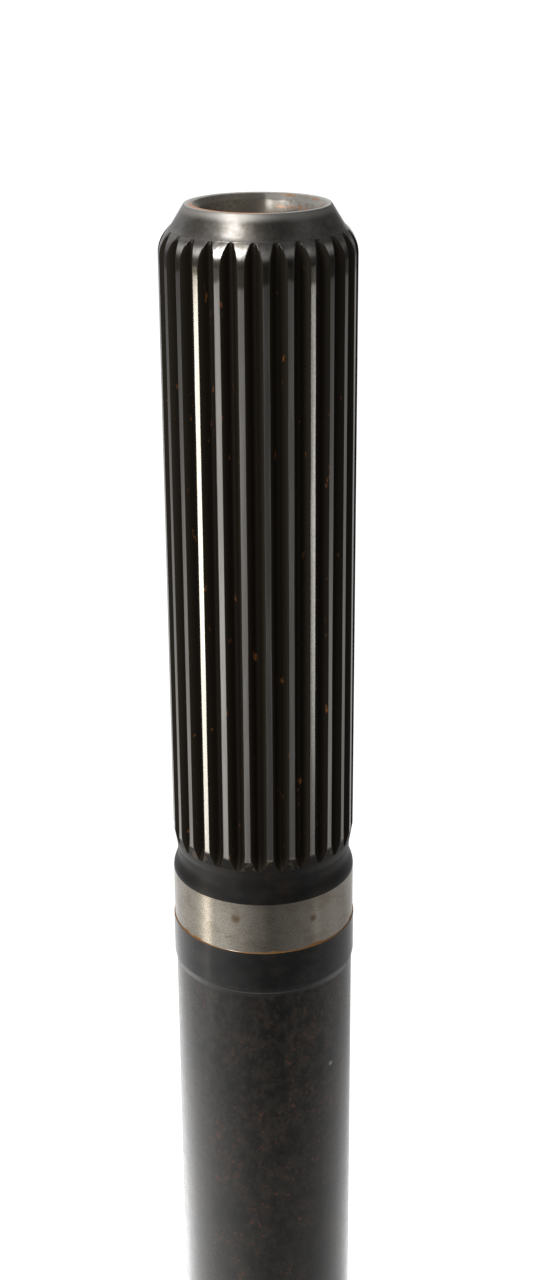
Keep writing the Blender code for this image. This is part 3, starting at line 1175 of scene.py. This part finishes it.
@dataclass(frozen=True)
class DarkFinish:
    """Dark turned steel with a film of oil, on the neck, the collar and the hidden faces, with a painted
    highlight as a pale line just above the start of its black band, which on the collar lies at the step.
    """

    name: str
    black_band: Span = (0.0, 0.0)
    roughness: float = 0.25
    level: float = 0.45
    steel: Colour = (0.0035, 0.0032, 0.003)
    bare: Colour = (0.01, 0.009, 0.008)
    rust: Colour = (0.04, 0.016, 0.007)
    # Colour of the painted highlight line.
    step_highlight: Colour = (0.05, 0.047, 0.043)
    clouds: Pattern = Pattern((280, 280, 340), 4.0, band=(0.35, 0.7))
    grooves: Pattern = Pattern((90, 90, 5200), 2.0)
    specks: Pattern = Pattern((1300, 1300, 1300), shift=4.0, band=(0.64, 0.72))
    speck_share: float = 0.5
    band_border: float = 0.0001
    line_above: float = 0.0006
    line_width: float = 0.0002
    line_reach: float = 0.012
    band_metal: float = 0.5
    line_metal: float = 0.4
    band_roughness: float = 0.2
    cloud_roughness: float = 0.16
    relief_depth: float = 0.00001
    brushed: float = 0.3

    def make(self) -> bpy.types.Material:
        """Makes the finish's material."""
        skin = Skin(self.name)
        cloud = skin.noise(self.clouds)
        steel = skin.mix(cloud.rise(*self.clouds.band), self.steel, self.bare)
        low, high = [skin.height.rise(end, end + self.band_border) for end in self.black_band]
        black = low - high
        # Painted highlight: a pale, less metallic line just above the start of the black band, on the front
        # and the back but not at the sides.
        line_height = self.black_band[0] + self.line_above
        line = skin.height.near(line_height, self.line_width) * skin.x.near(0.0, self.line_reach)
        specked = skin.mix(skin.marks(self.specks) * self.speck_share, steel, self.rust)
        roughness = self.roughness + cloud.swing(self.cloud_roughness)
        return skin.finish({
            "Base Color": skin.mix(line, specked, self.step_highlight),
            "Metallic": black * (self.band_metal - line * self.line_metal),
            "Roughness": roughness + black * self.band_roughness,
            "Specular IOR Level": self.level,
            "Normal": skin.relief(skin.noise(self.grooves), self.relief_depth),
        }, self.brushed)


@dataclass(frozen=True)
class GroundFinish:
    """Ground steel on the seal land and the bearing seat, with a rusty line at the land's foot."""

    land_foot: float
    radius: float
    stains: tuple[Stain, ...] = (Stain(-17.6, 0.0, 0.0058, 0.0011), Stain(32.0, 0.0, 0.0049, 0.0008))
    steel: Colour = (0.36, 0.33, 0.285)
    stain: Colour = (0.22, 0.185, 0.145)
    rust: Colour = (0.24, 0.115, 0.035)
    brown: Colour = (0.14, 0.09, 0.045)
    grains: Pattern = Pattern((2600, 2600, 3400), 3.0, 0.65, band=(0.3, 0.7))
    clouds: Pattern = Pattern((210, 210, 330), 4.0, shift=6.0, band=(0.4, 0.7))
    spots: Pattern = Pattern((420, 420, 420), shift=9.0, band=(0.66, 0.76))
    spot_share: float = 0.6
    clean_side: float = -0.004
    clean_width: float = 0.007
    least_rust: float = 0.00005
    even_rust: float = 0.00015
    cloudy_rust: float = 0.0005
    rusty_clouds: Span = (0.45, 0.62)
    rust_edge: Span = (0.4, 1.0)
    grainy: float = 0.5
    stain_share: float = 0.8
    dull_rust: float = 0.5
    roughness: float = 0.27
    grain_roughness: float = 0.2
    rust_roughness: float = 0.3
    relief_depth: float = 0.000004
    brushed: float = 0.5

    def make(self) -> bpy.types.Material:
        """Makes the finish's material."""
        skin = Skin("ground_steel")
        grain, cloud = skin.noise(self.grains), skin.noise(self.clouds)
        dirty_side = 1 - skin.x.near(self.clean_side, self.clean_width)
        wide = self.even_rust + cloud.rise(*self.rusty_clouds) * self.cloudy_rust
        reach = self.least_rust + wide * dirty_side
        away = skin.maths("ABSOLUTE", skin.height - self.land_foot, 0.0)
        rust = 1 - (away / reach).rise(*self.rust_edge)
        spots = skin.marks(self.spots) * self.spot_share
        for stain in self.stains:
            spots = skin.most(spots, skin.stain(stain, self.land_foot, self.radius))
        mottled = grain.rise(*self.grains.band).blend(cloud.rise(*self.clouds.band), self.grainy)
        steel = skin.mix(mottled, self.steel, self.stain)
        stained = skin.mix(spots * self.stain_share, steel, self.brown)
        roughness = self.roughness + grain.swing(self.grain_roughness)
        return skin.finish({
            "Base Color": skin.mix(rust, stained, self.rust),
            "Metallic": 1 - rust * self.dull_rust,
            "Roughness": roughness + rust * self.rust_roughness,
            "Normal": skin.relief(grain, self.relief_depth),
        }, self.brushed)


@dataclass(frozen=True)
class BodyFinish:
    """Mottled brown-grey steel on the plain body, oiled and specked with rust."""

    radius: float
    foot: float
    nicks: tuple[Stain, ...] = (
        Stain(48.0, 0.0, 0.1306, 0.0006),
        Stain(-12.0, 0.0, 0.075, 0.0004),
        Stain(20.0, 0.0, 0.062, 0.0005),
    )
    steel: Colour = (0.021, 0.0155, 0.0105)
    film: Colour = (0.0022, 0.0017, 0.0012)
    speck: Colour = (0.09, 0.028, 0.012)
    pale: Colour = (0.2, 0.185, 0.17)
    clouds: Pattern = Pattern((170, 170, 110), 5.0, 0.65, band=(0.35, 0.65))
    mottle: Pattern = Pattern((700, 700, 520), 4.0, 0.65, 2.0, (0.4, 0.6))
    specks: Pattern = Pattern((1500, 1500, 1200), 3.0, 0.65, 5.0, (0.58, 0.68))
    rusty_clouds: Span = (0.4, 0.6)
    pale_specks: Span = (0.74, 0.8)
    pale_share: float = 0.5
    cloudy: float = 0.5
    roughness: float = 0.27
    mottle_roughness: float = 0.18
    mottle_relief: float = 0.6
    level: float = 0.5
    relief_depth: float = 0.00002
    brushed: float = 0.3

    def make(self) -> bpy.types.Material:
        """Makes the finish's material."""
        skin = Skin("mottled_body")
        cloud, mottle, specks = [skin.noise(each) for each in (self.clouds, self.mottle, self.specks)]
        mottled = cloud.rise(*self.clouds.band).blend(mottle.rise(*self.mottle.band), self.cloudy)
        steel = skin.mix(mottled, self.film, self.steel)
        rust = specks.rise(*self.specks.band) * cloud.rise(*self.rusty_clouds)
        pale = specks.rise(*self.pale_specks) * self.pale_share
        for nick in self.nicks:
            pale = skin.most(pale, skin.stain(nick, self.foot, self.radius))
        return skin.finish({
            "Base Color": skin.mix(pale, skin.mix(rust, steel, self.speck), self.pale),
            "Roughness": self.roughness + mottle.swing(self.mottle_roughness),
            "Specular IOR Level": self.level,
            "Normal": skin.relief(mottle.blend(specks, self.mottle_relief), self.relief_depth),
        }, self.brushed)


class TeethRing(Graph):
    """The Geometry Nodes tree that repeats each end's sector round the axis and wears the skin."""

    dent_detail: float = 2.0
    # The noise that leaves the skin in its place. Nearly all of it is lower, so the dents go inwards.
    unworn: float = 0.7

    def __init__(self) -> None:
        """Builds the tree."""
        super().__init__(bpy.data.node_groups.new("splined_skin", "GeometryNodeTree"))
        self.identifiers: dict[str, str] = {}
        self.tree.interface.new_socket(name="Skin", in_out="OUTPUT", socket_type="NodeSocketGeometry")
        self._input("Sectors", "NodeSocketGeometry")
        for half in Half:
            self._input(f"{half.name.title()} Teeth", "NodeSocketInt")
        for name in ("Dent Depth", "Dents Per Metre", "Dent Seed", "Weld Distance"):
            self._input(name, "NodeSocketFloat")
        for zone in Zone:
            self._input(f"{zone.name.title()} Finish", "NodeSocketMaterial")
        self.given = self.node("NodeGroupInput")
        self._build()

    def _input(self, name: str, kind: str) -> None:
        """Adds a named input and notes its identifier."""
        made = self.tree.interface.new_socket(name=name, in_out="INPUT", socket_type=kind)
        self.identifiers[name] = made.identifier

    def _number(self, name: str) -> Signal:
        """A named input as a number."""
        return Signal(self, self.given.outputs[name])

    def _face_number(self, name: str) -> bpy.types.NodeSocket:
        """A whole number that the faces carry."""
        made = self.node("GeometryNodeInputNamedAttribute", {"data_type": "INT"}, {"Name": name})
        return made.outputs["Attribute"]

    def _is(self, value: bpy.types.NodeSocket, number: int) -> bpy.types.NodeSocket:
        """True where a whole number has a value."""
        settings = {"data_type": "INT", "operation": "EQUAL"}
        return self.node("FunctionNodeCompare", settings, {2: value, 3: number}).outputs[0]

    def _ring(self, half: Half) -> bpy.types.NodeSocket:
        """Repeats one end's sector round the axis.

        Args:
            half: Which end's sector is taken.

        Returns:
            The instances' socket.
        """
        teeth = self._number(f"{half.name.title()} Teeth")
        chosen = {
            "Geometry": self.given.outputs["Sectors"],
            "Selection": self._is(self._face_number("half"), half.value),
        }
        sector = self.node("GeometryNodeSeparateGeometry", {"domain": "FACE"}, chosen)
        places = self.node("GeometryNodeMeshLine", inputs={"Count": teeth, "Offset": (0.0, 0.0, 0.0)})
        index = Signal(self, self.node("GeometryNodeInputIndex").outputs[0])
        turn = self.node("ShaderNodeCombineXYZ", inputs={2: index * math.tau / teeth})
        turned = self.node("FunctionNodeEulerToRotation", inputs={0: turn.outputs[0]})
        repeats = {
            "Points": places.outputs[0],
            "Instance": sector.outputs["Selection"],
            "Rotation": turned.outputs[0],
        }
        return self.node("GeometryNodeInstanceOnPoints", inputs=repeats).outputs[0]

    def _worn(self, skin: bpy.types.NodeSocket) -> bpy.types.NodeSocket:
        """Pushes the skin in a little here and there, as handling and tools leave it."""
        place = self.node("GeometryNodeInputPosition").outputs[0]
        dents = {
            "Vector": place,
            "W": self._number("Dent Seed"),
            "Scale": self._number("Dents Per Metre"),
            "Detail": self.dent_detail,
        }
        waves = self.node("ShaderNodeTexNoise", {"noise_dimensions": "4D"}, dents)
        depth = (Signal(self, waves.outputs[0]) - self.unworn) * self._number("Dent Depth")
        level = self._vector("MULTIPLY", {0: place, 1: (1.0, 1.0, 0.0)})
        push = self._vector("SCALE", {0: self._vector("NORMALIZE", {0: level}), "Scale": depth})
        return self.node("GeometryNodeSetPosition", inputs={"Geometry": skin, "Offset": push}).outputs[0]

    def _vector(self, operation: str, inputs: dict) -> bpy.types.NodeSocket:
        """Adds a Vector Math node and returns its result."""
        return self.node("ShaderNodeVectorMath", {"operation": operation}, inputs).outputs[0]

    def _build(self) -> None:
        """Links the whole tree."""
        rings = self.node("GeometryNodeJoinGeometry")
        for half in Half:
            self.tree.links.new(self._ring(half), rings.inputs[0])
        real = self.node("GeometryNodeRealizeInstances", inputs={0: rings.outputs[0]})
        weld = {"Geometry": real.outputs[0], "Distance": self._number("Weld Distance")}
        skin = self._worn(self.node("GeometryNodeMergeByDistance", inputs=weld).outputs[0])
        zone_number = self._face_number("zone")
        for zone in Zone:
            dress = {
                "Geometry": skin,
                "Selection": self._is(zone_number, zone.value),
                "Material": self.given.outputs[f"{zone.name.title()} Finish"],
            }
            skin = self.node("GeometryNodeSetMaterial", inputs=dress).outputs[0]
        self.node("NodeGroupOutput", inputs={0: skin})


@dataclass
class OutputShaft:
    """The whole shaft's fine skin, made from its ends' sectors and dressed by zones."""

    drive: DriveEnd = field(default_factory=DriveEnd)
    land: SealLand = field(default_factory=SealLand)
    tail: TailEnd = field(default_factory=TailEnd)
    neck_bare: Colour = (0.012, 0.0085, 0.006)
    dent_depth: float = 0.00003
    dents_per_metre: float = 420.0
    dent_seed: float = 4.0
    weld: float = 0.000001
    sharp_angle: float = math.radians(50)
    band_overlap: float = 0.0001

    def __post_init__(self) -> None:
        """Works out the outline and the heights that the finishes need."""
        lower = self.drive.outline(self.land.body_radius)
        self.foot = lower[-1].height
        middle = self.land.outline(self.foot)
        self.neck = middle[-1].height
        upper = self.tail.outline(self.neck)
        self.rim = upper[-1]
        self.outside = rounded(lower + middle + upper + self.tail.bore(self.rim))
        self.joint = Spot(self.land.body_radius, self.foot + self.land.body_length / 2, Zone.BODY)

    def finishes(self) -> dict[Zone, bpy.types.Material]:
        """Makes the material of each zone."""
        step = self.foot + self.land.body_length
        land_foot = step + self.land.step_length + self.land.collar_length
        straight = self.neck + self.tail.taper_length
        top = straight + self.tail.spline_length
        mouth = self.rim.radius - self.tail.rim_width
        black_band = (step - self.band_overlap, step + self.land.step_length)
        return {
            Zone.TEETH: ToothFinish(
                straight,
                top - self.tail.unrubbed_length,
                top + self.tail.oily_length,
                top + self.tail.shoulder_length,
                top + self.tail.arch_length,
            ).make(),
            Zone.NOSE: NoseFinish(mouth, self.rim.radius, self.rim.height).make(),
            Zone.BORE: BoreFinish(self.rim.height).make(),
            Zone.NECK: DarkFinish("oiled_neck", roughness=0.44, level=0.24, bare=self.neck_bare).make(),
            Zone.GROUND: GroundFinish(land_foot, self.land.land_radius).make(),
            Zone.COLLAR: DarkFinish("dark_collar", black_band).make(),
            Zone.BODY: BodyFinish(self.land.body_radius, self.foot).make(),
        }

    def _sectors(self) -> bpy.types.Object:
        """Puts both ends' sectors into one mesh, with the numbers that the node tree reads.

        Returns:
            The object that the node tree works on.
        """
        sectors = [
            self.drive.build(self.outside, self.joint),
            self.tail.build(self.outside, self.joint, self.neck),
        ]
        points: list[Vector] = []
        faces: list[tuple[int, ...]] = []
        for sector in sectors:
            faces += [tuple(len(points) + corner for corner in face) for face in sector.faces]
            points += sector.points
        numbers = [
            ("zone", "INT", "FACE", [zone for sector in sectors for zone in sector.zones]),
            ("half", "INT", "FACE", [sector.half.value for sector in sectors for _ in sector.faces]),
            ("depth", "FLOAT", "POINT", [depth for sector in sectors for depth in sector.depths]),
        ]
        return new_object("shaft_skin", new_mesh("shaft_sectors", points, faces, numbers))

    def build(self) -> bpy.types.Object:
        """Makes the skin and gives it its place on the frame.

        Returns:
            The finished piece.
        """
        piece = self._sectors()
        ring = TeethRing()
        values = {
            "Drive Teeth": self.drive.spline.teeth,
            "Tail Teeth": self.tail.teeth,
            "Dent Depth": self.dent_depth,
            "Dents Per Metre": self.dents_per_metre,
            "Dent Seed": self.dent_seed,
            "Weld Distance": self.weld,
        }
        values |= {f"{zone.name.title()} Finish": made for zone, made in self.finishes().items()}
        modifier = piece.modifiers.new("splined_skin", "NODES")
        modifier.node_group = ring.tree
        for name, value in values.items():
            modifier[ring.identifiers[name]] = value
        bpy.context.view_layer.update()
        graph = bpy.context.evaluated_depsgraph_get()
        mesh = bpy.data.meshes.new_from_object(piece.evaluated_get(graph))
        piece.modifiers.clear()
        sectors, piece.data = piece.data, mesh
        bpy.data.meshes.remove(sectors)
        for name in ("zone", "half"):
            mesh.attributes.remove(mesh.attributes[name])
        mesh.shade_smooth()
        mesh.set_sharp_from_angle(angle=self.sharp_angle)
        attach(piece, BODY)
        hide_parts(CAD_NODE)
        return piece


def new_object(name: str, data: bpy.types.ID) -> bpy.types.Object:
    """Adds an object to the scene."""
    made = bpy.data.objects.new(name, data)
    bpy.context.scene.collection.objects.link(made)
    return made


def new_mesh(name: str, points: Sequence, faces: Sequence, numbers: Sequence[tuple] = ()) -> bpy.types.Mesh:
    """Makes a mesh.

    Args:
        name: The mesh's name.
        points: Its points.
        faces: Its faces, as numbers of its points.
        numbers: The name, type, domain and values of each of its attributes.

    Returns:
        The new mesh.
    """
    mesh = bpy.data.meshes.new(name)
    mesh.from_pydata(points, [], faces)
    for attribute, kind, domain, values in numbers:
        mesh.attributes.new(attribute, kind, domain).data.foreach_set("value", values)
    return mesh


def towards(bearing: float, elevation: float = 0.0) -> Vector:
    """The direction at a bearing from the camera's side and an elevation, both in degrees."""
    turn = math.radians(bearing) + CAMERA_BEARING
    rise = math.radians(elevation)
    return Vector((math.sin(turn) * math.cos(rise), -math.cos(turn) * math.cos(rise), math.sin(rise)))


@dataclass(frozen=True)
class PhotoCamera:
    """The photograph's camera, by its place round the shaft and the way that it points."""

    distance: float = 0.26982
    height: float = 0.38026
    pitch: float = 0.37593
    yaw: float = 0.0090754
    roll: float = 0.0055342
    focal_pixels: float = 1887.878
    long_side_pixels: float = 1280.0
    sensor_mm: float = 36.0
    nearest: float = 0.01

    def place(self) -> None:
        """Makes the camera and gives it to the scene."""
        level = math.cos(self.pitch)
        forward = Vector((math.sin(self.yaw) * level, math.cos(self.yaw) * level, -math.sin(self.pitch)))
        right = Vector((math.cos(self.yaw), -math.sin(self.yaw), 0.0))
        down = forward.cross(right)
        leaned_right = right * math.cos(self.roll) + down * math.sin(self.roll)
        leaned_down = down * math.cos(self.roll) - right * math.sin(self.roll)
        axes = Matrix((leaned_right, -leaned_down, -forward)).transposed().to_4x4()
        axes.translation = (0.0, -self.distance, self.height)
        data = bpy.data.cameras.new("camera")
        data.sensor_width = self.sensor_mm
        data.lens = self.focal_pixels / self.long_side_pixels * self.sensor_mm
        data.clip_start = self.nearest
        camera = new_object("camera", data)
        camera.matrix_world = Matrix.Rotation(CAMERA_BEARING, 4, "Z") @ axes
        bpy.context.scene.camera = camera


@dataclass(frozen=True)
class Softbox:
    """A lamp with a flat glowing face, turned towards the shaft at the height of its aim.

    A square metre of it takes the field watts for a radiance of 1.
    """

    name: str
    bearing: float
    elevation: float
    distance: float
    width: float
    height: float
    radiance: float
    aim: float
    colour: Colour = (1.0, 1.0, 1.0)
    watts: float = 4.0

    def build(self) -> None:
        """Adds the lamp."""
        data = bpy.data.lights.new(self.name, "AREA")
        data.shape = "RECTANGLE"
        data.size, data.size_y = self.width, self.height
        data.energy = self.watts * self.width * self.height * self.radiance
        data.color = self.colour
        lamp = new_object(self.name, data)
        way = towards(self.bearing, self.elevation)
        lamp.location = Vector((0.0, 0.0, self.aim)) + way * self.distance
        lamp.rotation_mode = "QUATERNION"
        lamp.rotation_quaternion = (-way).to_track_quat("-Z", "Y")
        lamp.visible_camera = False


@dataclass(frozen=True)
class Ring:
    """A ring of the cove: where it lies, and how much it glows at each of the cove's bearings."""

    distance: float
    height: float
    glow: tuple[float, ...]


@dataclass(frozen=True)
class Cove:
    """The room round the front and the sides, dim in front, which only reflections show."""

    bearings: tuple[float, ...] = (-160, -133, -104, -76, -49, -21, 8, 37, 66, 94, 123, 160)
    rings: tuple[Ring, ...] = (
        Ring(0.06, 0.001, (1.2, 1.4, 1.2, 1.0, 0.9, 0.6, 0.4, 0.4, 0.5, 0.6, 0.8, 1.0)),
        Ring(0.20, 0.001, (3.2, 3.6, 2.7, 1.9, 1.4, 0.75, 0.5, 0.55, 0.7, 1.1, 1.7, 2.4)),
        Ring(0.34, 0.001, (2.0, 1.4, 0.85, 0.65, 0.4, 0.15, 0.08, 0.1, 0.2, 0.38, 0.48, 0.7)),
        Ring(0.40, 0.001, (1.5, 1.1, 0.85, 0.9, 0.6, 0.28, 0.09, 0.12, 0.12, 0.34, 0.45, 0.8)),
        Ring(0.40, 0.080, (0.8, 0.7, 0.75, 0.8, 1.3, 0.56, 0.14, 0.3, 0.36, 0.64, 0.46, 0.7)),
        Ring(0.40, 0.262, (0.4, 0.2, 0.15, 0.45, 1.1, 0.5, 0.1, 0.18, 0.3, 0.1, 0.28, 0.5)),
        Ring(0.40, 0.300, (0.5, 0.19, 0.24, 0.2, 0.2, 0.1, 0.03, 0.09, 0.07, 0.07, 0.08, 0.2)),
        Ring(0.42, 0.550, (0.9, 0.75, 0.6, 1.1, 0.8, 1.0, 0.5, 0.07, 0.2, 0.26, 0.15, 0.16)),
        Ring(0.40, 0.660, (1.0, 0.8, 0.3, 0.35, 0.9, 1.1, 0.8, 0.1, 0.3, 0.26, 0.14, 0.16)),
        Ring(0.33, 0.730, (1.0, 0.9, 0.3, 0.5, 1.0, 1.4, 0.4, 0.05, 0.35, 0.26, 0.14, 0.16)),
        Ring(0.25, 0.780, (1.0, 0.9, 0.4, 0.5, 0.7, 0.5, 0.08, 0.03, 0.35, 0.26, 0.14, 0.16)),
        Ring(0.001, 0.850, (0.3, 0.3, 0.3, 0.3, 0.3, 0.3, 0.06, 0.03, 0.3, 0.14, 0.11, 0.16)),
    )

    def _material(self) -> bpy.types.Material:
        """The cove's glow, as its points carry it."""
        surface = Surface("cove")
        carried = surface.node("ShaderNodeAttribute", {"attribute_name": "glow"})
        return surface.show(surface.node("ShaderNodeEmission", inputs={"Strength": carried.outputs["Fac"]}))

    def build(self) -> None:
        """Adds the cove."""
        points = []
        glows = []
        for across, bearing in enumerate(self.bearings):
            for ring in self.rings:
                points.append(towards(bearing) * ring.distance + Vector((0.0, 0.0, ring.height)))
                glows.append(ring.glow[across])
        side = len(self.rings)
        corners = [
            side * across + up for across in range(len(self.bearings) - 1) for up in range(side - 1)
        ]
        faces = [(corner, corner + 1, corner + side + 1, corner + side) for corner in corners]
        mesh = new_mesh("cove", points, faces, [("glow", "FLOAT", "POINT", glows)])
        mesh.materials.append(self._material())
        cove = new_object("cove", mesh)
        cove.visible_camera = False
        cove.visible_diffuse = False
        cove.visible_shadow = False


@dataclass(frozen=True)
class Studio:
    """The plain pale floor, the white world, the soft lamps and the dim room in front."""

    floor_size: float = 40.0
    floor_colour: Colour = (0.86, 0.86, 0.86)
    floor_glow: float = 0.6
    world_light: float = 0.55
    cove: Cove = Cove()
    lamps: tuple[Softbox, ...] = (
        Softbox("high_window", -42.5, 42, 0.38, 0.135, 0.34, 6.9, aim=0.335),
        Softbox("left_strip", -76, 0, 0.38, 0.085, 0.166, 3.5, aim=0.181, colour=(1.0, 0.97, 0.86)),
        Softbox("low_left_strip", -74, 0, 0.38, 0.06, 0.058, 2.7, aim=0.067, colour=(1.0, 0.97, 0.9)),
        Softbox("right_strip", 66, 0, 0.38, 0.04, 0.166, 1.3, aim=0.181),
    )

    @staticmethod
    def _seen(graph: Graph) -> Signal:
        """1 for rays from the camera and for reflections, and 0 for the light on the object."""
        path = graph.node("ShaderNodeLightPath")
        camera, glossy, through = [
            Signal(graph, path.outputs[f"Is {kind} Ray"]) for kind in ("Camera", "Glossy", "Transmission")
        ]
        return graph.maths("MAXIMUM", camera, graph.maths("MAXIMUM", glossy, through))

    def _world(self) -> None:
        """Makes the world: white where it shows, and softer as light."""
        world = bpy.data.worlds.new("studio")
        world.use_nodes = True
        graph = Graph(world.node_tree)
        strength = self.world_light + self._seen(graph) * (1 - self.world_light)
        back = graph.tree.nodes["Background"]
        graph.feed(back.inputs["Color"], (1.0, 1.0, 1.0))
        graph.feed(back.inputs["Strength"], strength)
        bpy.context.scene.world = world

    def _floor(self) -> None:
        """Makes the floor, which keeps the shaft's shadow."""
        half = self.floor_size / 2
        corners = [(-half, -half, 0), (half, -half, 0), (half, half, 0), (-half, half, 0)]
        mesh = new_mesh("floor", corners, [(0, 1, 2, 3)])
        surface = Surface("floor")
        matt = surface.node("ShaderNodeBsdfDiffuse", inputs={"Color": self.floor_colour})
        glow = surface.node("ShaderNodeEmission", inputs={"Strength": self._seen(surface) * self.floor_glow})
        both = surface.node("ShaderNodeAddShader", inputs={0: matt.outputs[0], 1: glow.outputs[0]})
        mesh.materials.append(surface.show(both))
        floor = new_object("floor", mesh)

    def build(self) -> None:
        """Makes the studio round the shaft."""
        self._world()
        self._floor()
        self.cove.build()
        for lamp in self.lamps:
            lamp.build()
        bpy.context.scene.view_settings.view_transform = "Standard"


def main() -> None:
    """Builds the shaft, the camera and the studio."""
    logging.basicConfig(level=logging.INFO, format="%(name)s: %(message)s")
    PhotoCamera().place()
    piece = OutputShaft().build()
    mesh = piece.data
    log.info("%s has %d faces and %d finishes", piece.name, len(mesh.polygons), len(mesh.materials))
    Studio().build()
    log.info("the studio is lit")


if __name__ == "__main__":
    main()
